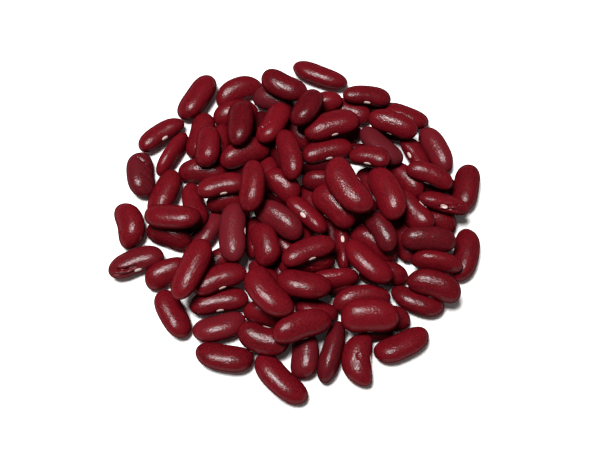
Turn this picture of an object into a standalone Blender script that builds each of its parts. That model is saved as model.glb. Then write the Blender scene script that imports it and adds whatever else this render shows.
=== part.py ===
"""A loose heap of dried kidney beans as it lies on a flat surface, as one closed body.

Every bean that shows is modelled at its true size with few sides. The beans rest on the
surface and on each other, and a low flat-based core fills the inside of the heap.
"""

import math

import bmesh
import bpy
import numpy as np

MM = 0.001

# Driving dimensions of the beans and the heap, in mm
THICKNESS_RATIO = 0.76
NOSE_POWER = 3.0
LAYER_HEIGHT = 5.2
CORE_SKIRT = 2.0
CORE_CROWN = 3.6
CROWN_SHARE = 0.72

# The eye that the beans' ends were read from: its height and how far it stands back, in mm
EYE_HEIGHT = 209.4
EYE_SETBACK = 97.6

# How the beans come to rest, per pass: the share of the way back to the layer's height, to
# level and to the line of sight, the fall, and the overlap that stays between beans, in mm
PASSES = 400
HOLD = 0.03
LEVEL = 0.03
PULL = 0.2
FALL = 0.03
BITE = 0.45
RELAX = 1.6
SHARE_PER_LAYER = 0.8
SMALLEST_SHARE = 0.1
NEIGHBOUR_REACH = 22.0
BALL_STATIONS = (-0.65, -0.33, 0.0, 0.33, 0.65)

# The few-sided beans: sides, rings along half the length either way, and the mm that make
# up for the flats and press the lowest beans into the surface
SIDES = 8
RING_STATIONS = (-0.93, -0.6, 0.0, 0.6, 0.93)
FATTEN = 0.38
SINK = 0.2
MERGE = 0.02
SLAB_HALF = 90.0
SLAB_DEPTH = 5.0
BEAN_COLOUR = (0.19, 0.009, 0.012, 1.0)

# Each bean as read by hand: where its two ends are seen on the table top (x, y, x, y), its
# breadth and the bow of its kidney curve in mm, the roll of its eye side in degrees
# (0 to the right of the way from the first end to the second, 90 up, 180 to the left),
# and the layer it starts in.
# The rim of the heap, clockwise from the far side
RIM_BEANS = (
    (-2.2, 60.1, 15.9, 52.2, 7.9, 0.3, 208, 0.0),
    (14.3, 47.9, 30.3, 46.0, 7.2, 0.8, 12, 0.6),
    (27.5, 43.0, 42.2, 36.8, 8.1, 0.7, 208, 0.0),
    (40.3, 34.7, 47.0, 18.5, 7.7, 0.5, -28, 0.0),
    (54.0, 21.0, 50.2, 4.9, 8.2, 0.2, -28, 0.0),
    (34.0, 1.2, 48.2, 0.1, 8.0, 0.8, -28, 0.0),
    (51.4, -1.5, 46.8, -18.4, 7.8, 1.0, -20, 0.0),
    (31.9, -17.8, 47.4, -23.0, 8.0, 0.8, -28, 1.0),
    (27.0, -21.3, 42.2, -27.1, 7.7, 1.0, 208, 0.0),
    (17.2, -30.6, 32.1, -30.6, 7.6, 0.8, -28, 0.0),
    (21.3, -41.0, 36.8, -34.0, 8.0, 0.8, 208, 0.0),
    (18.6, -34.4, 18.0, -49.8, 8.5, 2.3, 172, 0.0),
    (11.6, -31.0, 6.5, -48.9, 7.8, 0.6, -90, 0.0),
    (1.3, -34.0, 0.2, -47.9, 8.1, 0.7, -28, 0.0),
    (-11.7, -40.7, 1.6, -53.8, 8.3, 1.0, 208, 0.0),
    (-29.8, -39.5, -13.2, -42.5, 8.3, 0.8, 208, 0.0),
    (-41.1, -21.6, -33.1, -35.5, 8.0, 0.1, 208, 0.0),
    (-46.0, -19.0, -32.6, -13.1, 7.7, 0.8, -28, 0.0),
    (-57.2, -15.9, -41.1, -10.0, 8.3, 0.9, 20, 0.0),
    (-55.8, 6.9, -51.1, -7.6, 9.0, 1.5, -28, 0.0),
    (-45.4, 3.0, -40.1, 19.2, 8.6, 0.4, 208, 0.3),
    (-51.1, 25.4, -48.6, 9.7, 8.7, 0.9, 208, 0.0),
    (-51.8, 27.0, -38.4, 37.6, 7.7, 1.2, 25, 0.0),
    (-38.9, 38.8, -30.2, 55.3, 9.4, 0.4, 208, 0.0),
    (-27.6, 44.2, -12.6, 51.8, 8.2, 1.8, -28, 0.0),
    (-12.7, 56.4, 2.3, 48.2, 8.5, 0.8, 180, 1.0),
)

# The beans inside the heap that lie on the table or close to it
LOWER_BEANS = (
    (-0.2, 40.3, 14.3, 46.4, 7.2, 0.8, -28, 0.5),
    (9.5, 42.8, 23.3, 39.2, 8.3, 0.8, 0, 0.3),
    (-15.8, 47.2, -2.0, 43.0, 8.5, 0.8, -28, 0.5),
    (-28.8, 38.4, -13.8, 42.0, 8.1, 0.8, -28, 0.4),
    (-25.2, 36.0, -25.6, 21.0, 8.1, 0.6, -90, 0.0),
    (-31.3, 40.5, -34.6, 24.0, 8.3, 0.7, -28, 0.2),
    (-37.2, 32.8, -45.0, 17.4, 6.8, 0.6, -90, 0.0),
    (-38.8, 18.7, -23.2, 17.2, 7.9, 0.8, -28, 0.2),
    (-34.5, 14.4, -30.0, 0.0, 7.2, 0.7, 208, 0.4),
    (-29.2, 6.6, -14.8, 8.8, 8.3, 0.6, -80, 0.6),
    (-25.2, 4.6, -32.3, -8.2, 6.8, 0.7, -28, 0.3),
    (-47.0, -1.6, -33.0, -6.4, 8.1, 0.8, -60, 0.0),
    (-32.3, -26.5, -15.1, -23.8, 7.9, 0.9, 15, 0.5),
    (-31.0, -34.4, -15.8, -30.2, 8.3, 0.7, 208, 0.0),
    (-18.2, -33.0, -3.3, -38.4, 8.0, 1.0, 168, 0.3),
    (-16.5, -27.7, -2.0, -30.5, 7.8, 0.7, -60, 0.4),
    (-14.8, -12.6, -4.5, -23.0, 8.1, 0.7, 80, 0.4),
    (-0.9, -25.0, 10.8, -29.5, 7.9, 0.8, 208, 0.2),
    (9.6, -26.2, 26.8, -23.5, 7.0, 1.3, -28, 0.4),
    (-30.0, -17.0, -18.2, -9.2, 7.5, 0.8, -28, 0.0),
    (-13.8, 2.6, -14.0, -11.1, 7.4, 0.7, 105, 0.0),
    (-9.0, 0.0, 3.2, -7.2, 7.7, 0.8, -28, 0.0),
    (1.2, 14.0, 5.0, -3.2, 7.9, 0.8, -28, 0.0),
    (-6.3, -14.4, 10.4, -12.0, 7.9, 0.7, -80, 0.7),
    (12.5, 3.5, 13.3, -14.8, 6.1, 0.7, 90, 0.5),
    (2.4, -19.2, 17.6, -17.0, 7.4, 0.6, -80, 0.5),
    (15.8, -2.2, 29.3, -10.8, 8.1, 0.8, -28, 0.4),
    (17.6, -16.1, 32.3, -17.3, 7.2, 0.8, -28, 0.0),
    (29.3, 2.5, 33.2, -12.0, 7.5, 0.8, -28, 0.3),
    (31.0, 11.5, 40.2, -1.5, 7.9, 0.9, 150, 0.6),
    (19.9, 19.6, 23.6, 5.0, 7.7, 0.8, -28, 0.0),
    (33.8, 31.2, 39.8, 18.5, 7.2, 0.9, 35, 0.3),
    (6.0, 28.6, 20.0, 34.3, 7.5, 0.7, -28, 0.2),
    (-7.5, 38.8, 3.2, 28.4, 8.1, 0.8, -28, 0.1),
    (-9.9, 23.9, -13.1, 11.0, 7.4, 0.8, -28, 0.0),
    (0.5, 15.7, 15.0, 12.6, 7.4, 0.7, -60, 0.8),
)

# The beans that lie on others
UPPER_BEANS = (
    (27.8, 20.8, 38.1, 10.4, 7.2, 0.8, -28, 0.7),
    (20.6, 34.8, 32.2, 21.6, 8.1, 0.9, 208, 1.0),
    (33.9, 20.1, 48.1, 13.7, 6.3, 0.8, -28, 1.3),
    (36.5, 9.0, 52.4, 4.7, 7.2, 0.8, 45, 1.0),
    (30.9, -4.5, 47.6, -5.7, 7.6, 0.6, -28, 1.3),
    (33.6, -11.3, 48.9, -14.0, 6.9, 0.7, -70, 1.0),
    (16.2, 25.3, 29.5, 23.3, 6.9, 0.8, 10, 1.4),
    (0.6, 24.0, 17.0, 28.0, 7.7, 1.0, 10, 0.8),
    (-11.1, 18.2, -0.6, 8.4, 8.1, 0.6, -28, 1.0),
    (-13.5, 7.0, 0.6, -3.6, 8.3, 0.6, -28, 1.3),
    (-3.7, 9.4, 7.8, -2.3, 7.4, 0.8, 55, 1.0),
    (4.8, 12.6, 16.3, -0.1, 9.1, 0.7, -28, 1.4),
    (-5.3, -12.6, 10.6, -5.9, 7.2, 0.9, 12, 1.4),
    (-7.2, -17.9, 9.5, -20.3, 8.9, 0.7, 208, 1.2),
    (-13.4, 0.2, -9.2, -13.6, 8.3, 0.8, -28, 1.0),
    (-32.3, 10.9, -16.6, 14.7, 7.3, 1.0, 12, 1.2),
    (-25.7, 22.0, -9.8, 28.2, 8.1, 0.7, -28, 0.9),
    (-48.0, 3.8, -30.7, 2.7, 8.4, 0.6, 208, 1.2),
    (-29.0, -5.2, -36.3, -24.4, 8.7, 0.3, -28, 1.3),
    (-31.7, -21.2, -16.0, -15.4, 8.0, 0.9, 12, 1.0),
    (-12.6, 29.7, -5.8, 43.8, 8.4, 0.8, 208, 1.2),
    (-19.9, 45.0, -20.2, 28.4, 8.9, 0.5, -28, 1.3),
    (-30.4, 35.6, -30.2, 20.7, 8.3, 0.6, -28, 1.4),
    (-8.0, -35.5, 9.1, -30.1, 8.0, 0.8, -28, 1.2),
    (11.8, -29.8, 28.9, -29.6, 9.5, 0.6, -28, 1.0),
    (14.6, -5.6, 27.0, -18.4, 8.4, 0.9, 208, 1.3),
    (21.2, 4.2, 27.8, -8.7, 7.0, 0.7, -28, 1.5),
    (22.6, 39.6, 38.3, 33.2, 7.3, 0.3, -28, 1.5),
    (1.4, 32.8, 19.5, 38.4, 9.2, 0.8, 10, 1.6),
    (-1.3, 36.2, 5.1, 49.4, 8.6, 0.6, 208, 1.7),
    (-14.0, -14.4, -2.2, -29.3, 9.4, 1.6, 208, 1.6),
    (-20.3, 7.5, -20.0, -12.2, 8.1, 0.6, 170, 1.5),
    (-6.5, 34.4, -2.2, 16.0, 7.4, 0.6, -28, 2.0),
    (-15.8, 22.8, -16.3, 4.6, 7.9, 0.5, -28, 2.0),
    (23.4, 19.4, 29.9, 2.0, 8.8, 0.7, -28, 2.0),
    (10.6, 23.3, 21.4, 4.7, 9.4, 1.7, 175, 2.1),
)


def clear_scene():
    """Remove what the scene holds, so that the model stands alone."""
    for item in list(bpy.data.objects):
        bpy.data.objects.remove(item, do_unlink=True)


def unit(vectors):
    """Vectors scaled to length 1."""
    return vectors / np.linalg.norm(vectors, axis=-1, keepdims=True)


def eye_side(tips, roll):
    """Direction of each bean's eye side: level and to the right of its axis, turned up by the roll."""
    axis = unit(tips[:, 1] - tips[:, 0])
    right = unit(np.cross(axis, (0.0, 0.0, 1.0)))
    turn = np.radians(roll)[:, None]
    return np.cos(turn) * right + np.sin(turn) * np.cross(right, axis)


def sight_shift(seen, height):
    """Place at a height of a point seen on the table: the eye's foot plus the way from there
    to the seen point, shortened by the height's share of the eye's height."""
    foot = np.array([0.0, -EYE_SETBACK])
    return foot + (seen - foot) * (1.0 - height / EYE_HEIGHT)[..., None]


def ball_chains(tips, breadth, bow, roll):
    """Two rows of balls that fill each bean along its bowed axis: their middles (bean, ball, xyz)."""
    station = np.tile(BALL_STATIONS, 2)
    spread = np.repeat([-0.5, 0.5], len(BALL_STATIONS)) * (1.0 - THICKNESS_RATIO)
    offset = spread * breadth[:, None] - (1.0 - station ** 2) * bow[:, None]
    half_way = (tips[:, 1] - tips[:, 0]) / 2
    along = tips.mean(axis=1)[:, None] + station[:, None] * half_way[:, None]
    return along + offset[..., None] * eye_side(tips, roll)[:, None]


def rest_beans(rows):
    """Tips of every bean at rest, in mm, as an array (bean, end, xyz).

    Each bean starts at the height of its layer. Every pass lets it sink a little, holds it
    loosely to that height and to its lines of sight, and pushes overlapping balls apart,
    the one of the higher layer by the larger share. No ball ends below the table."""
    table = np.array(rows)
    seen, layer = table[:, :4].reshape(-1, 2, 2), table[:, 7]
    breadth, bow, roll = table[:, 4:7].T
    station = np.tile(BALL_STATIONS, 2)
    lever = np.stack([1.0 - station, 1.0 + station], axis=1) / 2
    lever /= (lever ** 2).sum(axis=1, keepdims=True)
    girth = np.sqrt(1.0 - np.abs(station) ** NOSE_POWER)
    radius = THICKNESS_RATIO / 2 * breadth[:, None] * girth
    layer_height = (THICKNESS_RATIO / 2 * breadth + LAYER_HEIGHT * layer)[:, None]
    height = np.repeat(layer_height, 2, axis=1)
    tips = np.concatenate([sight_shift(seen, height), height[..., None]], axis=2)
    middle = tips.mean(axis=1)[:, :2]
    near = np.linalg.norm(middle[:, None] - middle, axis=2) < NEIGHBOUR_REACH
    first, second = np.nonzero(np.triu(near, 1))
    share = 0.5 + SHARE_PER_LAYER * (layer[first] - layer[second])
    share = np.clip(share, SMALLEST_SHARE, 1.0 - SMALLEST_SHARE)[:, None, None, None]
    reach = radius[first][:, :, None] + radius[second][:, None] - BITE
    for _ in range(PASSES):
        tips[..., 2] += HOLD * (layer_height - tips[..., 2].mean(axis=1, keepdims=True)) - FALL
        tips[..., 2] += LEVEL * (tips[..., 2].mean(axis=1, keepdims=True) - tips[..., 2])
        tips[..., :2] += PULL * (sight_shift(seen, tips[..., 2]) - tips[..., :2])
        balls = ball_chains(tips, breadth, bow, roll)
        gap = balls[first][:, :, None] - balls[second][:, None]
        distance = np.linalg.norm(gap, axis=3)
        overlap = np.maximum(reach - distance, 0.0)
        push = (overlap / distance)[..., None] * gap
        shift = np.zeros_like(tips)
        hits = np.zeros(len(rows))
        for bean, part, axis in ((first, share, 2), (second, share - 1.0, 1)):
            np.add.at(shift, bean, np.einsum("pbk,be->pek", (part * push).sum(axis=axis), lever))
            np.add.at(hits, bean, (overlap > 0.0).sum(axis=(1, 2)))
        depth = np.maximum(radius - balls[..., 2], 0.0)
        shift[..., 2] += depth @ lever
        hits += (depth > 0.0).sum(axis=1)
        tips += RELAX * shift / np.maximum(hits, 1.0)[:, None, None]
    return tips


def bean_grid(tips, breadth, bow, roll):
    """Rings of points round a kidney bean, in mm, as an array (ring, side, xyz).

    The radius follows a blunt oval: the square root of one minus the station to a power.
    The axis bows away from the eye side as one minus the station squared."""
    station = np.array(RING_STATIONS)
    angle = np.linspace(0.0, 2.0 * math.pi, SIDES, endpoint=False) + math.pi / SIDES
    side = eye_side(tips[None], np.array([roll]))[0]
    face = np.cross(unit(tips[1] - tips[0]), side)
    girth = np.sqrt(1.0 - np.abs(station) ** NOSE_POWER) / math.sqrt(math.cos(math.pi / SIDES))
    straight = tips.mean(axis=0) + station[:, None] * (tips[1] - tips[0]) / 2
    centre = straight - bow * (1.0 - station ** 2)[:, None] * side
    half_breadth = breadth / 2 + FATTEN
    half_thickness = THICKNESS_RATIO * breadth / 2 + FATTEN
    ring = np.cos(angle)[:, None] * half_breadth * side + np.sin(angle)[:, None] * half_thickness * face
    return centre[:, None] + girth[:, None, None] * ring


def mesh_object(name, points, faces):
    """An object from points in mm and faces, turned to face outwards."""
    mesh = bpy.data.meshes.new(name)
    mesh.from_pydata([tuple(p) for p in np.asarray(points) * MM], [], faces)
    body = bmesh.new()
    body.from_mesh(mesh)
    bmesh.ops.recalc_face_normals(body, faces=body.faces)
    body.to_mesh(mesh)
    body.free()
    item = bpy.data.objects.new(name, mesh)
    bpy.context.scene.collection.objects.link(item)
    return item


def make_bean(name, tips, breadth, bow, roll):
    """One bean: quads between its rings and a fan of triangles at each tip."""
    rings = bean_grid(tips, breadth, bow, roll)
    tip_reach = unit(tips[1] - tips[0]) * FATTEN
    points = [*rings.reshape(-1, 3), tips[0] - tip_reach, tips[1] + tip_reach]
    last = (len(RING_STATIONS) - 1) * SIDES
    faces = []
    for k in range(SIDES):
        after = (k + 1) % SIDES
        for start in range(0, last, SIDES):
            faces.append((start + k, start + after, start + SIDES + after, start + SIDES + k))
        faces.append((len(points) - 2, after, k))
        faces.append((len(points) - 1, last + k, last + after))
    return mesh_object(name, points, faces)


def make_core(middles):
    """The low mound inside the heap, on an outline through the rim beans' middles: a skirt
    that reaches them and a crown on a smaller outline, with a flat base below the table."""
    centre = middles.mean(axis=0)
    crown = centre + (middles - centre) * CROWN_SHARE
    levels = ((middles, -SLAB_DEPTH / 2), (middles, CORE_SKIRT), (crown, CORE_CROWN))
    points = [(x, y, z) for outline, z in levels for x, y in outline]
    count = len(middles)
    faces = [tuple(range(count))[::-1], tuple(range(2 * count, 3 * count))]
    for k in range(count):
        after = (k + 1) % count
        faces.append((k, after, count + after, count + k))
        faces.append((count + k, count + after, 2 * count + after, 2 * count + k))
    return mesh_object("core", points, faces)


def make_slab():
    """The block under the table top that cuts the heap's flat base."""
    signs = ((-1, -1), (1, -1), (1, 1), (-1, 1))
    points = [(x * SLAB_HALF, y * SLAB_HALF, z) for z in (-SLAB_DEPTH, 0.0) for x, y in signs]
    sides = [(k, (k + 1) % 4, (k + 1) % 4 + 4, k + 4) for k in range(4)]
    return mesh_object("slab", points, [(0, 1, 2, 3), (4, 5, 6, 7), *sides])


def apply_boolean(target, operation, cutters):
    """Join or cut the target with every object of a list, and remove those objects.

    The exact solver leaves open edges on this many crossing beans, so it isn't used."""
    group = bpy.data.collections.new("group")
    bpy.context.scene.collection.children.link(group)
    for item in cutters:
        group.objects.link(item)
    step = target.modifiers.new(operation.lower(), "BOOLEAN")
    step.operation = operation
    step.operand_type = "COLLECTION"
    step.collection = group
    step.solver = "MANIFOLD"
    bpy.context.view_layer.objects.active = target
    bpy.ops.object.modifier_apply(modifier=step.name)
    for item in cutters:
        bpy.data.objects.remove(item, do_unlink=True)
    bpy.data.collections.remove(group)


def keep_largest_body(item):
    """Drop loose scraps and the walls of sealed hollows: all but the body with most faces."""
    body = bmesh.new()
    body.from_mesh(item.data)
    unseen = set(body.faces)
    largest = set()
    while unseen:
        island = {unseen.pop()}
        front = list(island)
        while front:
            near = {f for e in front.pop().edges for f in e.link_faces} & unseen
            unseen -= near
            island |= near
            front.extend(near)
        largest = max(largest, island, key=len)
    bmesh.ops.delete(body, geom=[f for f in body.faces if f not in largest], context="FACES")
    bmesh.ops.triangulate(body, faces=body.faces)
    bmesh.ops.remove_doubles(body, verts=body.verts, dist=MERGE * MM)
    bmesh.ops.dissolve_degenerate(body, edges=body.edges, dist=MERGE / 2 * MM)
    body.to_mesh(item.data)
    body.free()


def centre_on_base(item):
    """Move the mesh so that the middle of its box is over the origin and its base is at zero."""
    points = np.empty(3 * len(item.data.vertices))
    item.data.vertices.foreach_get("co", points)
    points = points.reshape(-1, 3)
    low, high = points.min(axis=0), points.max(axis=0)
    points -= ((low[0] + high[0]) / 2, (low[1] + high[1]) / 2, low[2])
    item.data.vertices.foreach_set("co", points.ravel())
    item.data.update()


def bean_material():
    """Dark red, semi-gloss bean skin."""
    material = bpy.data.materials.new("bean_skin")
    material.use_nodes = True
    shader = material.node_tree.nodes["Principled BSDF"]
    shader.inputs["Base Color"].default_value = BEAN_COLOUR
    shader.inputs["Roughness"].default_value = 0.35
    shader.inputs["Metallic"].default_value = 0.0
    return material


def main():
    """Build the heap: the beans at rest, the core, their union, and the flat base."""
    clear_scene()
    rows = RIM_BEANS + LOWER_BEANS + UPPER_BEANS
    tips = rest_beans(rows)
    tips[:, :, 2] -= SINK
    beans = []
    for k, (row, ends) in enumerate(zip(rows, tips)):
        beans.append(make_bean(f"bean_{k:03d}", ends, row[4], row[5], row[6]))
    heap = make_core(tips[:len(RIM_BEANS), :, :2].mean(axis=1))
    apply_boolean(heap, "UNION", beans)
    apply_boolean(heap, "DIFFERENCE", [make_slab()])
    keep_largest_body(heap)
    centre_on_base(heap)
    heap.name = "bean_heap"
    heap.data.materials.clear()
    heap.data.materials.append(bean_material())


main()
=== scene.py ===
"""A loose heap of dried kidney beans lying on a pale table top.

Each bean is a bowed, blunt-ended form with a seam and an eye on its belly. It is laid where
its two ends are seen in the photograph and rests on the table or on the beans below it.
"""

import functools
import math

import bpy
import numpy as np
from bpy.props import FloatProperty, FloatVectorProperty, PointerProperty
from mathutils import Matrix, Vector


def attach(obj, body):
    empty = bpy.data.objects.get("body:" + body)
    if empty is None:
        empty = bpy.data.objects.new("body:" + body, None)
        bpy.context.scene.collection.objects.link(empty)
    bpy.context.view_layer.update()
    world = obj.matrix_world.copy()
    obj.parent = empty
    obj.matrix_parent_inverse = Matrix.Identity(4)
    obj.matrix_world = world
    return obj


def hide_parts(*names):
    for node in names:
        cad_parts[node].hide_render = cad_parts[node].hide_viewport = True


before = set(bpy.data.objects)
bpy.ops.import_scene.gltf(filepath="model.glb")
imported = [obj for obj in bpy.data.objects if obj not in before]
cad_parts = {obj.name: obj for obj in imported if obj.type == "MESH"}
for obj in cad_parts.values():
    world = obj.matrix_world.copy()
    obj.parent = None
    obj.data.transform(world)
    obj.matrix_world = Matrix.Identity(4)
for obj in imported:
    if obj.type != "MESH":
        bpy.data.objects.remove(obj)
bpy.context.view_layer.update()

bl_info = {
    "name": "Dried Kidney Beans",
    "version": (1, 0, 0),
    "blender": (4, 5, 0),
    "location": "View3D > Sidebar > Beans",
    "description": "Builds a loose heap of dried kidney beans on a pale table",
    "category": "Add Mesh",
}

MM = 0.001
HEAP_NODE = "bean_heap"

# Middle of the soft light, in mm from where the camera looks
KEY_PLACE = (-95.0, 0.0, 500.0)

# The floor: its width in m, and its level in mm, a hair under the base of the heap
FLOOR_WIDTH = 4.0
FLOOR_LEVEL = -0.05

# The photograph's eye over the table: its height and how far it stands back, in mm
EYE_HEIGHT = 209.4
EYE_SETBACK = 97.6

# A bean's usual half length in mm, its thickness as a share of its breadth, and the power of
# the plain oval that rounds its ends in the settle and in the skin's pattern
HALF_LENGTH = 8.5
THICKNESS_RATIO = 0.76
NOSE_POWER = 3.0

# How much the bluntness differs from bean to bean, how far the hollow round the eye reaches
# as a share of the half length, and the step of the pattern from one bean to the next
NOSE_SPREAD = 0.4
HOLLOW_REACH = 0.32
PATTERN_STEP = 0.37

# How the beans come to rest, per pass: the share of the way back to the layer's height, to
# level and to the line of sight, the fall in mm, and how many times the mean push is made
PASSES = 400
HOLD = 0.03
LEVEL = 0.03
PULL = 0.2
FALL = 0.03
RELAX = 1.6

# The height of a layer, the overlap that stays between beans and how near two beans are
# that may touch, in mm
LAYER_HEIGHT = 5.2
BITE = 0.45
NEIGHBOUR_REACH = 22.0

# Of a push, the share past a half that the higher bean takes per layer, and the least share
SHARE_PER_LAYER = 0.8
SMALLEST_SHARE = 0.1

# Where the balls that stand for a bean lie along its half length
BALL_STATIONS = (-0.65, -0.33, 0.0, 0.33, 0.65)

# Rings along each form and sides round it, by piece, and for the box of the whole heap
HIDDEN_GRID = (32, 24)
LOWER_GRID = (46, 32)
UPPER_GRID = (60, 46)
MARKED_GRID = (110, 90)
EYE_GRID = (9, 20)
BOX_GRID = (24, 24)

# In the four tables a row is one bean: x and y of each of its ends where they are seen on the
# table, its breadth and its bow, all in mm, the degrees by which its eye side is turned up,
# its layer, how dark its skin is drawn (its own tone, and on the beans beneath painted shade)
# and how much bloom it wears

# The rim of the heap, clockwise from the far side
RIM_BEANS = (
    (-2.2, 60.1, 15.9, 52.2, 7.9, 0.3, 208, 0.0, 0.35, 0.0),
    (14.3, 47.9, 30.3, 46.0, 7.2, 0.8, 12, 0.6, 0.65, 0.0),
    (27.5, 43.0, 42.2, 36.8, 8.1, 0.7, 208, 0.0, 0.35, 0.0),
    (40.3, 34.7, 47.0, 18.5, 7.7, 0.5, -28, 0.0, 0.35, 0.5),
    (54.0, 21.0, 50.2, 4.9, 8.2, 0.2, -28, 0.0, 0.65, 0.0),
    (34.0, 1.2, 48.2, 0.1, 8.0, 0.8, -28, 0.0, 0.65, 0.0),
    (51.4, -1.5, 46.8, -18.4, 7.8, 1.0, -20, 0.0, 0.65, 0.0),
    (31.9, -17.8, 47.4, -23.0, 8.0, 0.8, -28, 1.0, 0.65, 0.0),
    (27.0, -21.3, 42.2, -27.1, 7.7, 1.0, 208, 0.0, 0.65, 0.0),
    (17.2, -30.6, 32.1, -30.6, 7.6, 0.8, -28, 0.0, 0.65, 0.0),
    (21.3, -41.0, 36.8, -34.0, 8.0, 0.8, 208, 0.0, 0.35, 0.0),
    (18.6, -34.4, 18.0, -49.8, 8.5, 2.3, 172, 0.0, 0.35, 0.0),
    (11.6, -31.0, 6.5, -48.9, 7.8, 0.6, -90, 0.0, 1.0, 0.3),
    (1.3, -34.0, 0.2, -47.9, 8.1, 0.7, -28, 0.0, 0.65, 0.4),
    (-11.7, -40.7, 1.6, -53.8, 8.3, 1.0, 208, 0.0, 0.35, 0.0),
    (-29.8, -39.5, -13.2, -42.5, 8.3, 0.8, 208, 0.0, 0.65, 0.0),
    (-41.1, -21.6, -33.1, -35.5, 8.0, 0.1, 208, 0.0, 0.35, 0.0),
    (-46.0, -19.0, -32.6, -13.1, 7.7, 0.8, -28, 0.0, 0.35, 0.0),
    (-57.2, -15.9, -41.1, -10.0, 8.3, 0.9, 20, 0.0, 0.65, 0.3),
    (-55.8, 6.9, -51.1, -7.6, 9.0, 1.5, -28, 0.0, 0.35, 0.0),
    (-45.4, 3.0, -40.1, 19.2, 8.6, 0.4, 208, 0.3, 0.35, 0.0),
    (-51.1, 25.4, -48.6, 9.7, 8.7, 0.9, 208, 0.0, 1.0, 0.5),
    (-51.8, 27.0, -38.4, 37.6, 7.7, 1.2, 25, 0.0, 0.35, 0.0),
    (-38.9, 38.8, -30.2, 55.3, 9.4, 0.4, 208, 0.0, 0.35, 0.0),
    (-27.6, 44.2, -12.6, 51.8, 8.2, 1.8, -28, 0.0, 0.35, 0.0),
    (-12.7, 56.4, 2.3, 48.2, 8.5, 0.8, 180, 1.0, 0.8, 0.0),
)

# The beans inside the heap that lie on the table or close to it
LOWER_BEANS = (
    (-0.2, 40.3, 14.3, 46.4, 7.2, 0.8, -28, 0.5, 0.0, 0.0),
    (9.5, 42.8, 23.3, 39.2, 8.3, 0.8, 0, 0.3, 0.35, 0.0),
    (-15.8, 47.2, -2.0, 43.0, 8.5, 0.8, -28, 0.5, 1.0, 0.8),
    (-28.8, 38.4, -13.8, 42.0, 8.1, 0.8, -28, 0.4, 0.35, 0.0),
    (-25.2, 36.0, -25.6, 21.0, 8.1, 0.6, -90, 0.0, 0.35, 0.0),
    (-31.3, 40.5, -34.6, 24.0, 8.3, 0.7, -28, 0.2, 0.35, 0.0),
    (-37.2, 32.8, -45.0, 17.4, 6.8, 0.6, -90, 0.0, 0.0, 0.0),
    (-38.8, 18.7, -23.2, 17.2, 7.9, 0.8, -28, 0.2, 0.65, 0.0),
    (-34.5, 14.4, -30.0, 0.0, 7.2, 0.7, 208, 0.4, 0.35, 0.0),
    (-29.2, 6.6, -14.8, 8.8, 8.3, 0.6, -80, 0.6, 0.35, 0.0),
    (-25.2, 4.6, -32.3, -8.2, 6.8, 0.7, -28, 0.3, 0.65, 0.7),
    (-47.0, -1.6, -33.0, -6.4, 8.1, 0.8, -60, 0.0, 0.65, 0.0),
    (-32.3, -26.5, -15.1, -23.8, 7.9, 0.9, 15, 0.5, 0.35, 0.0),
    (-31.0, -34.4, -15.8, -30.2, 8.3, 0.7, 208, 0.0, 0.35, 0.5),
    (-18.2, -33.0, -3.3, -38.4, 8.0, 1.0, 168, 0.3, 0.65, 0.0),
    (-16.5, -27.7, -2.0, -30.5, 7.8, 0.7, -60, 0.4, 0.0, 0.0),
    (-14.8, -12.6, -4.5, -23.0, 8.1, 0.7, 80, 0.4, 0.35, 0.0),
    (-0.9, -25.0, 10.8, -29.5, 7.9, 0.8, 208, 0.2, 0.35, 0.0),
    (9.6, -26.2, 26.8, -23.5, 7.0, 1.3, -28, 0.4, 0.35, 0.0),
    (-30.0, -17.0, -18.2, -9.2, 7.5, 0.8, -28, 0.0, 0.35, 0.0),
    (-13.8, 2.6, -14.0, -11.1, 7.4, 0.7, 105, 0.0, 0.35, 0.0),
    (-9.0, 0.0, 3.2, -7.2, 7.7, 0.8, -28, 0.0, 0.35, 0.0),
    (1.2, 14.0, 5.0, -3.2, 7.9, 0.8, -28, 0.0, 0.65, 0.0),
    (-6.3, -14.4, 10.4, -12.0, 7.9, 0.7, -80, 0.7, 0.35, 0.0),
    (12.5, 3.5, 13.3, -14.8, 6.1, 0.7, 90, 0.5, 0.35, 0.0),
    (2.4, -19.2, 17.6, -17.0, 7.4, 0.6, -80, 0.5, 0.0, 0.0),
    (15.8, -2.2, 29.3, -10.8, 8.1, 0.8, -28, 0.4, 0.35, 0.0),
    (17.6, -16.1, 32.3, -17.3, 7.2, 0.8, -28, 0.0, 0.65, 0.0),
    (29.3, 2.5, 33.2, -12.0, 7.5, 0.8, -28, 0.3, 0.35, 0.2),
    (31.0, 11.5, 40.2, -1.5, 7.9, 0.9, 150, 0.6, 0.35, 0.0),
    (19.9, 19.6, 23.6, 5.0, 7.7, 0.8, -28, 0.0, 0.65, 0.0),
    (33.8, 31.2, 39.8, 18.5, 7.2, 0.9, 35, 0.3, 0.35, 0.0),
    (6.0, 28.6, 20.0, 34.3, 7.5, 0.7, -28, 0.2, 0.0, 0.0),
    (-7.5, 38.8, 3.2, 28.4, 8.1, 0.8, -28, 0.1, 0.35, 0.0),
    (-9.9, 23.9, -13.1, 11.0, 7.4, 0.8, -28, 0.0, 0.35, 0.0),
    (0.5, 15.7, 15.0, 12.6, 7.4, 0.7, -60, 0.8, 0.65, 0.0),
)

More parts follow.
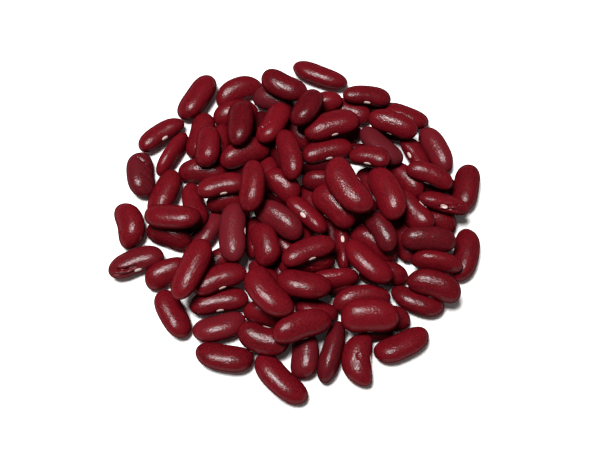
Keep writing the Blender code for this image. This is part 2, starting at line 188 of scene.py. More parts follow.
# The beans that lie on others
UPPER_BEANS = (
    (27.8, 20.8, 38.1, 10.4, 7.2, 0.8, -28, 0.7, 0.35, 0.0),
    (20.6, 34.8, 32.2, 21.6, 8.1, 0.9, 208, 1.0, 1.0, 0.8),
    (33.9, 20.1, 48.1, 13.7, 6.3, 0.8, -28, 1.3, 0.35, 0.0),
    (36.5, 9.0, 52.4, 4.7, 7.2, 0.8, 45, 1.0, 0.35, 0.0),
    (30.9, -4.5, 47.6, -5.7, 7.6, 0.6, -28, 1.3, 1.0, 0.2),
    (33.6, -11.3, 48.9, -14.0, 6.9, 0.7, -70, 1.0, 0.35, 0.0),
    (16.2, 25.3, 29.5, 23.3, 6.9, 0.8, 10, 1.4, 0.35, 0.0),
    (0.6, 24.0, 17.0, 28.0, 7.7, 1.0, 10, 0.8, 0.35, 0.0),
    (-11.1, 18.2, -0.6, 8.4, 8.1, 0.6, -28, 1.0, 0.18, 0.0),
    (-13.5, 7.0, 0.6, -3.6, 8.3, 0.6, -28, 1.3, 0.65, 0.4),
    (-3.7, 9.4, 7.8, -2.3, 7.4, 0.8, 55, 1.0, 0.0, 0.0),
    (4.8, 12.6, 16.3, -0.1, 9.1, 0.7, -28, 1.4, 0.18, 0.0),
    (-5.3, -12.6, 10.6, -5.9, 7.2, 0.9, 12, 1.4, 0.35, 0.0),
    (-7.2, -17.9, 9.5, -20.3, 8.9, 0.7, 208, 1.2, 0.35, 0.0),
    (-13.4, 0.2, -9.2, -13.6, 8.3, 0.8, -28, 1.0, 0.35, 0.0),
    (-32.3, 10.9, -16.6, 14.7, 7.3, 1.0, 12, 1.2, 0.35, 0.0),
    (-25.7, 22.0, -9.8, 28.2, 8.1, 0.7, -28, 0.9, 0.35, 0.0),
    (-48.0, 3.8, -30.7, 2.7, 8.4, 0.6, 208, 1.2, 0.35, 0.0),
    (-29.0, -5.2, -36.3, -24.4, 8.7, 0.3, -28, 1.3, 0.18, 0.0),
    (-31.7, -21.2, -16.0, -15.4, 8.0, 0.9, 12, 1.0, 0.35, 0.0),
    (-12.6, 29.7, -5.8, 43.8, 8.4, 0.8, 208, 1.2, 0.0, 0.0),
    (-19.9, 45.0, -20.2, 28.4, 8.9, 0.5, -28, 1.3, 1.0, 0.0),
    (-30.4, 35.6, -30.2, 20.7, 8.3, 0.6, -28, 1.4, 0.35, 0.0),
    (-8.0, -35.5, 9.1, -30.1, 8.0, 0.8, -28, 1.2, 0.35, 0.0),
    (11.8, -29.8, 28.9, -29.6, 9.5, 0.6, -28, 1.0, 0.0, 0.0),
    (14.6, -5.6, 27.0, -18.4, 8.4, 0.9, 208, 1.3, 0.0, 0.0),
    (21.2, 4.2, 27.8, -8.7, 7.0, 0.7, -28, 1.5, 1.0, 0.2),
    (22.6, 39.6, 38.3, 33.2, 7.3, 0.3, -28, 1.5, 0.35, 0.0),
    (1.4, 32.8, 19.5, 38.4, 9.2, 0.8, 10, 1.6, 0.35, 0.0),
    (-1.3, 36.2, 5.1, 49.4, 8.6, 0.6, 208, 1.7, 1.0, 0.0),
    (-14.0, -14.4, -2.2, -29.3, 9.4, 1.6, 208, 1.6, 0.18, 0.0),
    (-20.3, 7.5, -20.0, -12.2, 8.1, 0.6, 170, 1.5, 0.5, 0.7),
    (-6.5, 34.4, -2.2, 16.0, 7.4, 0.6, -28, 2.0, 0.35, 0.0),
    (-15.8, 22.8, -16.3, 4.6, 7.9, 0.5, -28, 2.0, 0.35, 0.0),
    (23.4, 19.4, 29.9, 2.0, 8.8, 0.7, -28, 2.0, 0.18, 0.0),
    (10.6, 23.3, 21.4, 4.7, 9.4, 1.7, 175, 2.1, 0.18, 0.0),
)

# The beans beneath, of which only slivers show between the others. Most are drawn darker than
# any other bean: painted shade in the gaps between the beans above them
HIDDEN_BEANS = (
    (-13.3, 41.3, -14.9, 26.7, 6.8, 0.6, -28, 0.0, 2.0, 0.0),
    (-10.4, 32.8, -6.0, 18.3, 7.2, 0.4, 90, 0.0, 2.0, 0.0),
    (-2.2, 20.8, 11.2, 21.5, 7.0, 0.6, -28, 0.0, 2.0, 0.0),
    (13.6, 26.0, 27.0, 23.0, 6.5, 0.5, -28, 0.0, 2.0, 0.0),
    (-24.9, 20.8, -12.1, 19.4, 7.0, 0.6, -28, 0.0, 2.0, 0.0),
    (-13.2, 12.9, -2.5, 7.6, 7.0, 0.6, -28, 0.0, 2.0, 0.0),
    (-17.8, 6.9, -16.5, -3.4, 5.5, 0.5, 208, 0.0, 2.0, 0.0),
    (13.0, 3.8, 23.0, 4.5, 5.5, 0.5, -28, 0.0, 2.0, 0.0),
    (9.0, 3.1, 9.4, -11.0, 6.2, 0.5, -28, 0.0, 2.0, 0.0),
    (-39.3, -1.7, -28.9, -0.7, 6.2, 0.5, -28, 0.0, 2.0, 0.0),
    (-6.4, -9.4, -6.8, -20.6, 6.5, 0.5, -28, 0.0, 2.0, 0.0),
    (7.7, -20.6, 16.0, -20.6, 6.0, 0.5, -28, 0.0, 2.0, 0.0),
    (17.9, -33.5, 26.7, -32.3, 5.5, 0.4, -28, 0.0, 2.0, 0.0),
    (23.7, 36.6, 33.8, 30.5, 5.5, 0.4, -28, 0.0, 2.0, 0.0),
    (20.6, 44.5, 30.5, 41.3, 6.0, 0.4, -28, 0.0, 2.0, 0.0),
    (37.9, 14.3, 51.0, 12.2, 7.0, 0.6, -28, 0.0, 2.0, 0.0),
    (-2.9, -23.7, -0.6, -32.0, 5.0, 0.4, -28, 0.0, 2.0, 0.0),
    (-8.2, -4.4, -0.9, -10.5, 6.5, 0.5, -28, 0.0, 0.35, 0.4),
    (16.5, 3.2, 21.5, -6.1, 6.5, 0.5, -28, 0.0, 0.65, 0.0),
)

# The first rows of the upper and of the hidden beans, when the four tables are one
FIRST_UPPER = len(RIM_BEANS) + len(LOWER_BEANS)
FIRST_HIDDEN = FIRST_UPPER + len(UPPER_BEANS)

# Dents, creases, cracks and raised lips that show, by the bean's row: how far along from the
# middle of the bean, degrees round from its top to the right, heading in degrees from its
# axis, then length, width and depth, less than 0 for a lip; all lengths in mm
MARKS = {
    11: (
        (-0.2, -4, 0, 0.9, 0.5, 0.35),
        (1.8, 14, 0, 0.6, 1.4, 0.15),
    ),
    18: (
        (-6.7, 3, 55, 4.4, 0.5, 0.8),
        (-4.2, 34, 19, 2.7, 0.5, 0.8),
        (-1.6, 42, 5, 2.6, 0.5, 0.8),
        (-4.4, 46, 24, 5.0, 0.5, -0.25),
        (-5.9, 53, 33, 3.8, 0.4, 0.4),
        (-2.8, 67, 0, 3.1, 0.4, 0.4),
    ),
    19: ((3.2, 56, 0, 0.3, 0.9, 0.6),),
    21: (
        (-3.9, -20, -53, 3.8, 0.45, 0.5),
        (-2.4, -60, -79, 3.0, 0.45, 0.5),
        (-5.8, -38, -66, 3.6, 0.4, 0.35),
        (-0.2, -50, -68, 1.8, 0.35, 0.35),
        (2.0, -32, -73, 2.0, 0.35, 0.35),
        (3.1, -48, -73, 1.8, 0.35, 0.35),
        (5.5, -42, -69, 2.6, 0.35, 0.35),
        (6.5, -32, -64, 2.7, 0.35, 0.35),
        (7.2, -8, -64, 2.1, 0.35, 0.3),
    ),
    49: (
        (5.4, 28, 0, 0.3, 1.3, -0.25),
        (5.4, 28, 0, 0.3, 0.6, 0.5),
        (-0.2, 38, 28, 2.6, 0.4, 0.3),
        (2.1, 51, 12, 2.4, 0.4, 0.3),
    ),
    65: (
        (0.2, 44, -26, 3.0, 0.4, 0.4),
        (2.9, 22, -26, 3.0, 0.4, 0.4),
        (5.4, -3, -40, 2.9, 0.4, 0.4),
        (3.0, 34, -28, 6.0, 0.5, -0.25),
        (1.1, 60, -34, 2.4, 0.4, 0.35),
        (3.1, 51, 5, 2.0, 0.4, 0.35),
        (6.1, 2, 34, 2.4, 0.35, 0.3),
    ),
    73: ((3.9, 42, 0, 0.3, 1.0, 0.35),),
    82: (
        (-4.2, -30, 42, 1.8, 0.4, -0.3),
        (-5.0, -50, 81, 1.7, 0.4, -0.3),
        (-6.1, -57, -15, 2.1, 0.4, -0.3),
        (-3.8, -20, 42, 2.0, 0.5, 0.35),
        (-5.9, -40, 80, 1.8, 0.5, 0.35),
    ),
    86: ((6.1, 22, 0, 0.3, 0.9, 0.3),),
}


def srgb(code):
    """Linear colour of an sRGB hex code: the usual power curve with its straight foot."""
    values = [int(code[k:k + 2], 16) / 255 for k in (1, 3, 5)]
    return [v / 12.92 if v <= 0.04045 else ((v + 0.055) / 1.055) ** 2.4 for v in values]


class BeanShape(bpy.types.PropertyGroup):
    """The sizes that every bean shares."""

    nose_power: FloatProperty(
        name="Bluntness", description="Power of the oval that rounds the ends", default=3.2, min=2.0)
    belly_dent: FloatProperty(
        name="Belly dent", description="Depth of the hollow round the eye", default=0.25 * MM, unit="LENGTH")
    unevenness: FloatProperty(
        name="Unevenness", description="Height of the skin's soft lumps", default=0.1 * MM, unit="LENGTH")
    taper: FloatProperty(
        name="Taper", description="Largest share by which one end is fuller", default=0.08, subtype="FACTOR")
    eye_length: FloatProperty(
        name="Eye length", description="Length of the pale eye on the belly", default=2.2 * MM, unit="LENGTH")
    eye_breadth: FloatProperty(
        name="Eye breadth", description="Breadth of the pale eye", default=1.05 * MM, unit="LENGTH")
    eye_rise: FloatProperty(
        name="Eye rise", description="How far the eye stands out", default=0.12 * MM, unit="LENGTH")


class BeanColours(bpy.types.PropertyGroup):
    """The colours of the skin and of the eye."""

    bright: FloatVectorProperty(
        name="Bright skin", description="Palest red of the skin", default=srgb("#590a12"), subtype="COLOR")
    dark: FloatVectorProperty(
        name="Dark skin", description="Deepest red of the skin", default=srgb("#38050a"), subtype="COLOR")
    bloom: FloatVectorProperty(
        name="Bloom", description="Dull film that some beans wear", default=srgb("#682e36"), subtype="COLOR")
    seam: FloatVectorProperty(
        name="Seam", description="Line along the belly", default=srgb("#2a060b"), subtype="COLOR")
    # The band round the eye is partly the eye's own dark rim and partly painted shade of the hollow round it
    rim: FloatVectorProperty(
        name="Eye rim", description="Dark band round the eye", default=srgb("#1c0408"), subtype="COLOR")
    scar: FloatVectorProperty(
        name="Eye", description="Pale scar on the belly", default=srgb("#bda8a0"), subtype="COLOR")
    slit: FloatVectorProperty(
        name="Slit", description="Line along the middle of the eye", default=srgb("#74423c"), subtype="COLOR")


class BeanStage(bpy.types.PropertyGroup):
    """The light, the lens and the surface under the heap."""

    key_power: FloatProperty(
        name="Key power", description="Power of the soft light overhead", default=5.6, unit="POWER")
    key_size: FloatProperty(
        name="Key size", description="Width of the soft light", default=0.16, unit="LENGTH")
    fill: FloatProperty(
        name="Fill", description="Brightness of the white surround", default=0.13, min=0.0)
    lens: FloatProperty(
        name="Lens", description="Focal length of the camera", default=45.0, unit="CAMERA")
    paper: FloatVectorProperty(
        name="Paper", description="Surface under the heap", default=srgb("#f6f5f4"), subtype="COLOR")


def unit(vectors):
    """Vectors scaled to length 1."""
    return vectors / np.linalg.norm(vectors, axis=-1, keepdims=True)


def half_length(tips):
    """Half of the way between each bean's tips, as a column."""
    return np.linalg.norm(tips[:, 1] - tips[:, 0], axis=1)[:, None] / 2


def blunt_oval(station, power):
    """Share of the full breadth at a station from -1 to 1: root(1 - |station|^power)."""
    return np.sqrt(1.0 - np.abs(station) ** power)


def eye_side(tips, roll):
    """Direction of each bean's eye side: level and to the right of its axis, turned up by the roll."""
    axis = unit(tips[:, 1] - tips[:, 0])
    right = unit(np.cross(axis, (0.0, 0.0, 1.0)))
    turn = np.radians(roll)[:, None]
    return np.cos(turn) * right + np.sin(turn) * np.cross(right, axis)


def sight_shift(seen, height):
    """Place at a height of a point seen on the table: the eye's foot plus the way from there
    to the seen point, shortened by the height's share of the eye's height."""
    foot = np.array([0.0, -EYE_SETBACK])
    return foot + (seen - foot) * (1.0 - height / EYE_HEIGHT)[..., None]


def ball_chains(tips, breadth, bow, roll):
    """Two rows of balls that fill each bean along its bowed axis: their middles (bean, ball, xyz)."""
    station = np.tile(BALL_STATIONS, 2)
    spread = np.repeat([-0.5, 0.5], len(BALL_STATIONS)) * (1.0 - THICKNESS_RATIO)
    offset = spread * breadth[:, None] - (1.0 - station ** 2) * bow[:, None]
    half_way = (tips[:, 1] - tips[:, 0]) / 2
    along = tips.mean(axis=1)[:, None] + station[:, None] * half_way[:, None]
    return along + offset[..., None] * eye_side(tips, roll)[:, None]


def rest_beans(table, still=np.empty((0, 2, 3))):
    """Tips of every bean at rest, in mm, as an array (bean, end, xyz).

    Each bean starts at the height of its layer. Every pass lets it sink a little, holds it
    loosely to that height and to its lines of sight, and pushes overlapping balls apart,
    the one of the higher layer by the larger share. The first beans stay still where their
    tips are given. Last, a bean that still dips below the table is lifted onto it."""
    seen, layer = table[:, :4].reshape(-1, 2, 2), table[:, 7]
    breadth, bow, roll = table[:, 4:7].T

    # How far a push at each ball moves each tip
    station = np.tile(BALL_STATIONS, 2)
    lever = np.stack([1.0 - station, 1.0 + station], axis=1) / 2
    lever /= (lever ** 2).sum(axis=1, keepdims=True)

    radius = THICKNESS_RATIO / 2 * breadth[:, None] * blunt_oval(station, NOSE_POWER)
    layer_height = (THICKNESS_RATIO / 2 * breadth + LAYER_HEIGHT * layer)[:, None]
    height = np.repeat(layer_height, 2, axis=1)
    tips = np.concatenate([sight_shift(seen, height), height[..., None]], axis=2)

    # Pairs of beans that may touch, the first one's share of a push, and how near balls come
    middle = tips.mean(axis=1)[:, :2]
    near = np.linalg.norm(middle[:, None] - middle, axis=2) < NEIGHBOUR_REACH
    first, second = np.nonzero(np.triu(near, 1))
    share = 0.5 + SHARE_PER_LAYER * (layer[first] - layer[second])
    share = np.clip(share, SMALLEST_SHARE, 1.0 - SMALLEST_SHARE)[:, None, None, None]
    reach = radius[first][:, :, None] + radius[second][:, None] - BITE

    for _ in range(PASSES):
        tips[..., 2] += HOLD * (layer_height - tips[..., 2].mean(axis=1, keepdims=True)) - FALL
        tips[..., 2] += LEVEL * (tips[..., 2].mean(axis=1, keepdims=True) - tips[..., 2])
        tips[..., :2] += PULL * (sight_shift(seen, tips[..., 2]) - tips[..., :2])
        balls = ball_chains(tips, breadth, bow, roll)
        gap = balls[first][:, :, None] - balls[second][:, None]
        distance = np.linalg.norm(gap, axis=3)
        overlap = np.maximum(reach - distance, 0.0)
        push = (overlap / distance)[..., None] * gap
        shift = np.zeros_like(tips)
        hits = np.zeros(len(table))
        for bean, part, axis in ((first, share, 2), (second, share - 1.0, 1)):
            np.add.at(shift, bean, np.einsum("pbk,be->pek", (part * push).sum(axis=axis), lever))
            np.add.at(hits, bean, (overlap > 0.0).sum(axis=(1, 2)))
        depth = np.maximum(radius - balls[..., 2], 0.0)
        shift[..., 2] += depth @ lever
        hits += (depth > 0.0).sum(axis=1)
        tips += RELAX * shift / np.maximum(hits, 1.0)[:, None, None]
        tips[:len(still)] = still
    depth = np.maximum(radius - ball_chains(tips, breadth, bow, roll)[..., 2], 0.0)
    tips[..., 2] += depth.max(axis=1)[:, None]
    return tips


@functools.cache
def heap_at_rest():
    """The table of all beans, their tips at rest in mm, and how far the middle of the heap's
    base is from the middle of the photograph. The hidden beans settle after the others."""
    table = np.array(RIM_BEANS + LOWER_BEANS + UPPER_BEANS + HIDDEN_BEANS)
    tips = rest_beans(table, rest_beans(table[:FIRST_HIDDEN]))
    station, angle = skin_grid(*BOX_GRID)
    points = skin_points(table, tips, np.arange(FIRST_HIDDEN), station, angle)
    low, high = points.min(axis=(0, 1)), points.max(axis=(0, 1))
    return table, tips, np.array([*(low + high)[:2] / 2, low[2]])


def skin_grid(rings, sides):
    """Stations from -1 to 1 and angles round, flat arrays: each station is the sine of an even
    step from pole to pole, so rings crowd towards the ends. The poles come last."""
    sweep = np.linspace(-math.pi / 2, math.pi / 2, rings + 2)[1:-1]
    turn = np.linspace(0.0, 2.0 * math.pi, sides, endpoint=False)
    station, angle = np.meshgrid(np.sin(sweep), turn, indexing="ij")
    return np.append(station.ravel(), (-1.0, 1.0)), np.append(angle.ravel(), (0.0, 0.0))


def grid_faces(rings, sides):
    """Quads between the rings and triangles round the two poles, for one bean."""
    ring, side = np.meshgrid(np.arange(rings - 1), np.arange(sides), indexing="ij")
    start, after = ring * sides + side, ring * sides + (side + 1) % sides
    quads = np.stack([start, start + sides, after + sides, after], axis=-1).reshape(-1, 4)
    k = np.arange(sides)
    turned, last = (k + 1) % sides, (rings - 1) * sides
    first_pole = np.stack([k, turned, np.full(sides, rings * sides)], axis=-1)
    last_pole = np.stack([last + turned, last + k, np.full(sides, rings * sides + 1)], axis=-1)
    return quads, np.concatenate([first_pole, last_pole])


def soft_lumps(rows, station, angle):
    """Soft lumps of the skin, -1 to 1: for each bean four waves along and round it, with its
    own seeded phases, added up."""
    total = np.zeros(station.shape)
    for wave, (along, around) in enumerate(((2.2, 1), (3.4, 2), (1.6, 3), (4.6, 1))):
        phase = np.array([np.random.default_rng(1000 * wave + row).uniform(0, 2 * math.pi) for row in rows])
        total += np.cos(along * station + around * angle + phase[:, None]) / (wave + 1.5)
    return total / 1.5


def mark_depth(row, roll, half_breadth, station, angle):
    """Depth of a bean's dents and creases at each point: a mark is a short line on the skin,
    and the depth falls off as a bell curve of the distance to it."""
    depth = np.zeros(len(station))
    for along, around, heading, length, width, deepest in MARKS[row]:
        turn = np.radians(90.0 - roll - around)
        ahead = station * HALF_LENGTH - along
        aside = (np.remainder(turn - angle + math.pi, 2 * math.pi) - math.pi) * half_breadth
        cos, sin = math.cos(math.radians(heading)), math.sin(math.radians(heading))
        past_end = np.maximum(np.abs(ahead * cos + aside * sin) - length / 2, 0.0)
        distance = np.hypot(past_end, aside * cos - ahead * sin)
        depth += deepest * np.exp(-(distance / width) ** 2)
    return depth


def skin_points(table, tips, rows, station, angle, rise=0.0):
    """Points on the skins of the beans of some rows, in mm: (bean, point, xyz).

    The half breadth is the blunt oval root(1 - station^nose), fuller towards one end. The
    middle line bows away from the eye side as 1 - station^2. A bell-shaped hollow is taken
    off at the eye, soft lumps are added, and the row's marks are pressed in. The rise lifts
    the points off the skin."""
    shape = bpy.context.scene.bean_shape
    station, angle = (np.broadcast_to(v, (len(rows), v.shape[-1])) for v in (station, angle))
    breadth, bow, roll = (table[rows, k][:, None] for k in (4, 5, 6))
    ends = tips[rows]
    side = eye_side(ends, roll[:, 0])
    half_way = (ends[:, 1] - ends[:, 0]) / 2
    face = np.cross(side, unit(half_way))
    draws = np.array([np.random.default_rng(row).uniform(-1, 1, 2) for row in rows])
    nose = shape.nose_power + NOSE_SPREAD * draws[:, :1]
    fuller = 1.0 + shape.taper * draws[:, 1:] * station
    girth = blunt_oval(station, nose) * fuller
    across = np.cos(angle)
    belly = np.maximum(across, 0.0) ** 3 * np.exp(-(station / HOLLOW_REACH) ** 2)
    lift = shape.unevenness / MM * soft_lumps(rows, station, angle) * girth + rise
    for k, row in enumerate(rows):
        if row in MARKS:
            lift[k] -= girth[k] * mark_depth(row, roll[k], breadth[k] / 2, station[k], angle[k])
    to_side = across * (breadth / 2 * girth + lift) - shape.belly_dent / MM * belly
    to_side -= bow * (1.0 - station ** 2)
    to_face = np.sin(angle) * (THICKNESS_RATIO * breadth / 2 * girth + lift)
    points = ends.mean(axis=1)[:, None] + station[..., None] * half_way[:, None]
    return points + to_side[..., None] * side[:, None] + to_face[..., None] * face[:, None]


def mesh_piece(name, points, quads, triangles, attributes, material):
    """One mesh of many like forms: the faces of one are repeated for each, and the attributes
    are laid on its points. Points are (form, point, xyz) in mm."""
    count, size = points.shape[:2]
    starts = np.arange(count)[:, None, None] * size
    faces = [*(quads + starts).reshape(-1, 4).tolist(), *(triangles + starts).reshape(-1, 3).tolist()]
    mesh = bpy.data.meshes.new(name)
    mesh.from_pydata((points.reshape(-1, 3) * MM).tolist(), [], faces)
    for label, values in attributes.items():
        kind, field = ("FLOAT_VECTOR", "vector") if values.ndim == 3 else ("FLOAT", "value")
        layer = mesh.attributes.new(label, kind, "POINT")
        layer.data.foreach_set(field, values.astype(np.float32).ravel())
    mesh.shade_smooth()
    mesh.materials.append(material)
    piece = bpy.data.objects.new(name, mesh)
    bpy.context.scene.collection.objects.link(piece)
    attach(piece, "root")
    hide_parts(HEAP_NODE)


def bean_piece(name, rows, grid):
    """Real beans for some rows, with the attributes that their material reads: the place on
    the bean itself in metres, its tone (on the beans beneath, painted shade), its bloom and the
    number that sets its pattern."""
    table, tips, offset = heap_at_rest()
    rows = np.array(rows)
    station, angle = skin_grid(*grid)
    points = skin_points(table, tips, rows, station, angle) - offset
    along = half_length(tips[rows]) * station
    out = table[rows, 4][:, None] / 2 * blunt_oval(station, NOSE_POWER)
    own = np.stack([along, out * np.cos(angle), out * np.sin(angle)], axis=-1)
    same = np.ones((len(rows), len(station)))
    attributes = {
        "own_place": own * MM,
        # How dark the skin is drawn: the bean's own tone, and on the beans beneath painted shade
        "tone_and_shade": table[rows, 8][:, None] * same,
        "bloom": table[rows, 9][:, None] * same,
        "own_number": rows[:, None] * PATTERN_STEP * same,
    }
    quads, triangles = grid_faces(*grid)
    mesh_piece(name, points, quads, triangles, attributes, kidney_bean_skin())


def add_node(tree, kind, links=None, **settings):
    """A node with its settings; links gives each input a value or another node's output."""
    node = tree.nodes.new(kind)
    for name, value in settings.items():
        setattr(node, name, value)
    for socket, source in (links or {}).items():
        if isinstance(source, bpy.types.NodeSocket):
            tree.links.new(source, node.inputs[socket])
        else:
            node.inputs[socket].default_value = source
    return node


def new_material(name):
    """An empty node material, its tree and its Principled shader."""
    material = bpy.data.materials.new(name)
    material.use_nodes = True
    return material, material.node_tree, material.node_tree.nodes["Principled BSDF"]


@functools.cache
def kidney_bean_skin():
    """Seed coat of a dark red kidney bean, dried hard in its pod. It gives the eye a deep red,
    finely mottled, under a thin waxy layer that is semi-gloss. A dark line runs along the
    belly, and a dark band goes round the eye, partly its own dark rim and partly painted shade
    of the hollow round it. The beans beneath are painted darker as shade, and some beans wear a
    dull greyish bloom."""
    material, tree, shader = new_material("kidney_bean_skin")
    shape, colours = bpy.context.scene.bean_shape, bpy.context.scene.bean_colours
    place = add_node(tree, "ShaderNodeAttribute", attribute_name="own_place").outputs["Vector"]
    tone_and_shade = add_node(tree, "ShaderNodeAttribute", attribute_name="tone_and_shade").outputs["Fac"]
    bloom = add_node(tree, "ShaderNodeAttribute", attribute_name="bloom").outputs["Fac"]
    number = add_node(tree, "ShaderNodeAttribute", attribute_name="own_number").outputs["Fac"]

    def grains(size_mm, detail, stretch=1.0):
        """Noise on the bean's own place, with grains of one real size, drawn out along it."""
        scaled = add_node(tree, "ShaderNodeMapping", {"Vector": place, "Scale": (1.0 / stretch, 1.0, 1.0)})
        noise = add_node(
            tree, "ShaderNodeTexNoise", {"Vector": scaled.outputs["Vector"], "W": number,
                                         "Scale": 1.0 / (size_mm * MM), "Detail": detail},
            noise_dimensions="4D")
        return noise.outputs["Fac"]

    def weighted_sum(start, *terms):
        """A start plus each source times its weight."""
        total = start
        for source, weight in terms:
            total = add_node(
                tree, "ShaderNodeMath", {0: source, 1: weight, 2: total}, operation="MULTIPLY_ADD").outputs[0]
        return total

    # The real specks are about a tenth of a millimetre wide, too fine to show, so they are
    # drawn half a millimetre wide
    patches = grains(4.0, 2.0)
    mottle = grains(0.9, 4.0, 1.8)
    specks = grains(0.5, 2.0)

    # The depth of the red starts below 0, because each noise is about a half on average. The last
    # term is the bean's own tone, and on the beans beneath it is painted shade
    depth = weighted_sum(-1.6, (mottle, 0.5), (patches, 0.5), (specks, 2.5), (tone_and_shade, 0.6))

    # The bloom is a thin film, rubbed off in fine specks
    film = weighted_sum(-0.035, (specks, 0.42))
    film = add_node(tree, "ShaderNodeMath", {0: film, 1: bloom}, operation="MULTIPLY").outputs[0]
    layers = [(depth, colours.dark), (film, colours.bloom)]

    # On the eye side: the belly line, a third of a millimetre to each side of the plane of the
    # seam, and a dark band round the eye, partly the eye's own dark rim and partly painted shade of
    # the hollow round it, by the distance in half lengths and half breadths of the eye
    parts = add_node(tree, "ShaderNodeSeparateXYZ", {0: place}).outputs
    on_belly = add_node(tree, "ShaderNodeMath", {0: parts["Y"], 1: 0.0}, operation="GREATER_THAN").outputs[0]
    off_seam = add_node(tree, "ShaderNodeMath", {0: parts["Z"]}, operation="ABSOLUTE").outputs[0]
    scale = (2.0 / shape.eye_length, 0.0, 2.0 / shape.eye_breadth)
    oval = add_node(
        tree, "ShaderNodeVectorMath", {0: place, 1: scale}, operation="MULTIPLY").outputs["Vector"]
    off_eye = add_node(tree, "ShaderNodeVectorMath", {0: oval}, operation="LENGTH").outputs["Value"]
    seam_band = (off_seam, 0.1 * MM, 0.35 * MM, 0.45, colours.seam)
    # Partly painted shade: the band round the eye also darkens the hollow that the eye sits in
    rim_and_shade_band = (off_eye, 1.15, 1.7, 0.85, colours.rim)
    for distance, near, far, strength, over in (seam_band, rim_and_shade_band):
        band = add_node(
            tree, "ShaderNodeMapRange", {"Value": distance, "From Min": near, "From Max": far,
                                         "To Min": strength, "To Max": 0.0}).outputs["Result"]
        band = add_node(tree, "ShaderNodeMath", {0: band, 1: on_belly}, operation="MULTIPLY").outputs[0]
        layers.append((band, over))

    colour = (*colours.bright, 1.0)
    for share, over in layers:
        colour = add_node(
            tree, "ShaderNodeMix", {0: share, 6: colour, 7: (*over, 1.0)}, data_type="RGBA").outputs[2]
    tree.links.new(colour, shader.inputs["Base Color"])

    # Rougher in the mottling and under the bloom
    rough = weighted_sum(0.28, (mottle, 0.3), (bloom, 0.08))
    tree.links.new(rough, shader.inputs["Roughness"])
    shader.inputs["IOR"].default_value = 1.5

    # The gloss is the waxy layer's alone, and seen at a slant the skin's fine grain hides it
    shader.inputs["Specular IOR Level"].default_value = 0.0
    slant = add_node(tree, "ShaderNodeLayerWeight", {"Blend": 0.5}).outputs["Facing"]
    gloss = add_node(
        tree, "ShaderNodeMapRange", {"Value": slant, "From Min": 0.15, "From Max": 0.7,
                                     "To Min": 0.24, "To Max": 0.0}).outputs["Result"]
    tree.links.new(gloss, shader.inputs["Coat Weight"])
    shader.inputs["Coat Roughness"].default_value = 0.23
    shader.inputs["Coat IOR"].default_value = 1.6

    # Grain and mottling in relief
    relief = weighted_sum(mottle, (specks, 0.6))
    bump = add_node(tree, "ShaderNodeBump", {"Height": relief, "Distance": 0.14 * MM, "Strength": 1.0})
    for socket in ("Normal", "Coat Normal"):
        tree.links.new(bump.outputs["Normal"], shader.inputs[socket])
    return material


@functools.cache
def bean_eye_scar():
    """Scar where the bean hung in its pod: dry, matt and pale, with a darker slit along it."""
    material, tree, shader = new_material("bean_eye_scar")
    colours = bpy.context.scene.bean_colours
    place = add_node(tree, "ShaderNodeAttribute", attribute_name="own_place").outputs["Vector"]
    parts = add_node(tree, "ShaderNodeSeparateXYZ", {0: place}).outputs
    off_slit = add_node(tree, "ShaderNodeMath", {0: parts["Z"]}, operation="ABSOLUTE").outputs[0]
    slit = add_node(
        tree, "ShaderNodeMapRange", {"Value": off_slit, "From Min": 0.03 * MM, "From Max": 0.16 * MM,
                                     "To Min": 0.6, "To Max": 0.0}).outputs["Result"]
    colour = add_node(
        tree, "ShaderNodeMix", {0: slit, 6: (*colours.scar, 1.0), 7: (*colours.slit, 1.0)},
        data_type="RGBA").outputs[2]
    tree.links.new(colour, shader.inputs["Base Color"])
    # Dry fibres, a fifth of a millimetre apart
    fibre = add_node(
        tree, "ShaderNodeTexNoise", {"Vector": place, "Scale": 1.0 / (0.2 * MM), "Detail": 2.0})
    bump = add_node(tree, "ShaderNodeBump", {"Height": fibre.outputs["Fac"], "Distance": 0.05 * MM})
    tree.links.new(bump.outputs["Normal"], shader.inputs["Normal"])
    shader.inputs["Roughness"].default_value = 0.7
    return material


@functools.cache
def white_paper():
    """Smooth matt white paper under the heap: even and pale, with the faintest tooth."""
    material, tree, shader = new_material("white_paper")
    place = add_node(tree, "ShaderNodeTexCoord").outputs["Object"]
    # The real tooth is too fine to show, so it is drawn over a millimetre wide
    tooth = add_node(tree, "ShaderNodeTexNoise", {"Vector": place, "Scale": 1.0 / (1.2 * MM), "Detail": 3.0})
    bump = add_node(tree, "ShaderNodeBump", {"Height": tooth.outputs["Fac"], "Distance": 0.01 * MM})
    tree.links.new(bump.outputs["Normal"], shader.inputs["Normal"])
    shader.inputs["Base Color"].default_value = (*bpy.context.scene.bean_stage.paper, 1.0)
    shader.inputs["Roughness"].default_value = 0.9
    return material


class BEANS_OT_lay_hidden(bpy.types.Operator):
    """Lay the beans beneath, on a coarser grid"""

    bl_idname = "beans.lay_hidden"
    bl_label = "Lay Hidden Beans"

    def execute(self, context):
        bean_piece("hidden_beans", range(FIRST_HIDDEN, FIRST_HIDDEN + len(HIDDEN_BEANS)), HIDDEN_GRID)
        return {"FINISHED"}


class BEANS_OT_lay_lower(bpy.types.Operator):
    """Lay the rim beans and the beans that lie on the table"""

    bl_idname = "beans.lay_lower"
    bl_label = "Lay Lower Beans"

    def execute(self, context):
        rows = [row for row in range(FIRST_UPPER) if row not in MARKS]
        bean_piece("lower_beans", rows, LOWER_GRID)
        return {"FINISHED"}


class BEANS_OT_lay_upper(bpy.types.Operator):
    """Lay the beans that rest on others"""

    bl_idname = "beans.lay_upper"
    bl_label = "Lay Upper Beans"

    def execute(self, context):
        rows = [row for row in range(FIRST_UPPER, FIRST_HIDDEN) if row not in MARKS]
        bean_piece("upper_beans", rows, UPPER_GRID)
        return {"FINISHED"}


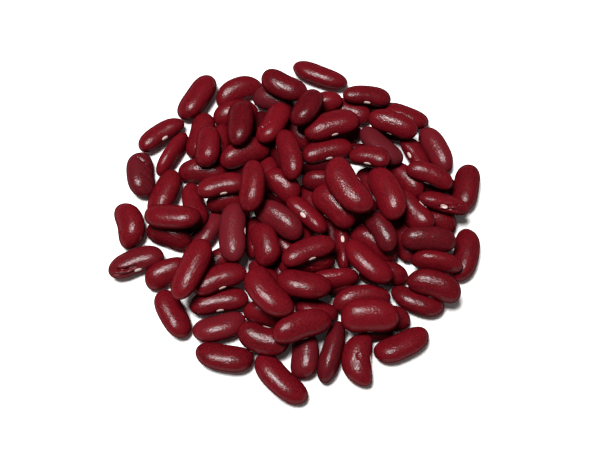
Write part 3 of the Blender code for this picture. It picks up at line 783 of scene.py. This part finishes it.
class BEANS_OT_lay_marked(bpy.types.Operator):
    """Lay the wrinkled, creased, dented and split beans, on a finer grid"""

    bl_idname = "beans.lay_marked"
    bl_label = "Lay Marked Beans"

    def execute(self, context):
        bean_piece("marked_beans", sorted(MARKS), MARKED_GRID)
        return {"FINISHED"}


class BEANS_OT_add_eyes(bpy.types.Operator):
    """Set the pale eye on the belly of every bean"""

    bl_idname = "beans.add_eyes"
    bl_label = "Add Eyes"

    def execute(self, context):
        shape = context.scene.bean_shape
        table, tips, offset = heap_at_rest()
        rows = np.arange(len(table))
        # A flat oval lens: rings from its outer pole over the rim to its inner pole
        height, turn = skin_grid(*EYE_GRID)
        spread = np.sqrt(1.0 - height ** 2)
        ahead = spread * np.cos(turn) * shape.eye_length / MM / 2
        aside = spread * np.sin(turn) * shape.eye_breadth / MM / 2
        station = ahead / half_length(tips)
        angle = aside / (table[:, 4][:, None] / 2 * THICKNESS_RATIO)
        points = skin_points(table, tips, rows, station, angle, rise=height * shape.eye_rise / MM)
        own = np.stack([ahead, np.zeros_like(ahead), aside], axis=-1) * MM
        own = np.broadcast_to(own, (len(rows), *own.shape))
        quads, triangles = grid_faces(*EYE_GRID)
        mesh_piece("bean_eyes", points - offset, quads, triangles, {"own_place": own}, bean_eye_scar())
        return {"FINISHED"}


class BEANS_OT_set_stage(bpy.types.Operator):
    """Set the pale floor, the soft light and the camera"""

    bl_idname = "beans.set_stage"
    bl_label = "Set Stage"

    def execute(self, context):
        scene, stage = context.scene, context.scene.bean_stage
        offset = Vector(heap_at_rest()[2]) * MM

        bpy.ops.mesh.primitive_plane_add(size=FLOOR_WIDTH, location=(0.0, 0.0, FLOOR_LEVEL * MM))
        floor = context.object
        floor.name = "floor"
        floor.data.materials.append(white_paper())

        world = bpy.data.worlds.new("white_surround")
        world.use_nodes = True
        world.node_tree.nodes["Background"].inputs["Color"].default_value = (1.0, 1.0, 1.0, 1.0)
        world.node_tree.nodes["Background"].inputs["Strength"].default_value = stage.fill
        scene.world = world

        key = bpy.data.lights.new("key", "AREA")
        key.energy, key.size = stage.key_power, stage.key_size
        lamp = bpy.data.objects.new("key", key)
        lamp.location = Vector(KEY_PLACE) * MM - offset
        lamp.rotation_euler = (-offset - lamp.location).to_track_quat("-Z", "Y").to_euler()
        scene.collection.objects.link(lamp)

        lens = bpy.data.cameras.new("camera")
        lens.lens = stage.lens
        camera = bpy.data.objects.new("camera", lens)
        camera.location = Vector((0.0, -EYE_SETBACK, EYE_HEIGHT)) * MM - offset
        camera.rotation_euler = (-offset - camera.location).to_track_quat("-Z", "Y").to_euler()
        scene.collection.objects.link(camera)
        scene.camera = camera
        scene.view_settings.view_transform = "Standard"
        return {"FINISHED"}


OPERATORS = (
    BEANS_OT_lay_hidden,
    BEANS_OT_lay_lower,
    BEANS_OT_lay_upper,
    BEANS_OT_lay_marked,
    BEANS_OT_add_eyes,
    BEANS_OT_set_stage,
)

GROUPS = {"bean_shape": BeanShape, "bean_colours": BeanColours, "bean_stage": BeanStage}


class BEANS_PT_heap(bpy.types.Panel):
    """Sidebar panel with the sizes, the colours and the steps, in order"""

    bl_idname = "BEANS_PT_heap"
    bl_label = "Dried Kidney Beans"
    bl_space_type = "VIEW_3D"
    bl_region_type = "UI"
    bl_category = "Beans"

    def draw(self, context):
        for group, kind in GROUPS.items():
            for name in kind.__annotations__:
                self.layout.prop(getattr(context.scene, group), name)
        for operator in OPERATORS:
            self.layout.operator(operator.bl_idname)


CLASSES = (*GROUPS.values(), *OPERATORS, BEANS_PT_heap)


def register():
    for item in CLASSES:
        bpy.utils.register_class(item)
    for group, kind in GROUPS.items():
        setattr(bpy.types.Scene, group, PointerProperty(type=kind))


def unregister():
    for group in GROUPS:
        delattr(bpy.types.Scene, group)
    for item in reversed(CLASSES):
        bpy.utils.unregister_class(item)


def main():
    """Build the heap and its stage."""
    register()
    for operator in OPERATORS:
        group, name = operator.bl_idname.split(".")
        getattr(getattr(bpy.ops, group), name)()


if __name__ == "__main__":
    main()
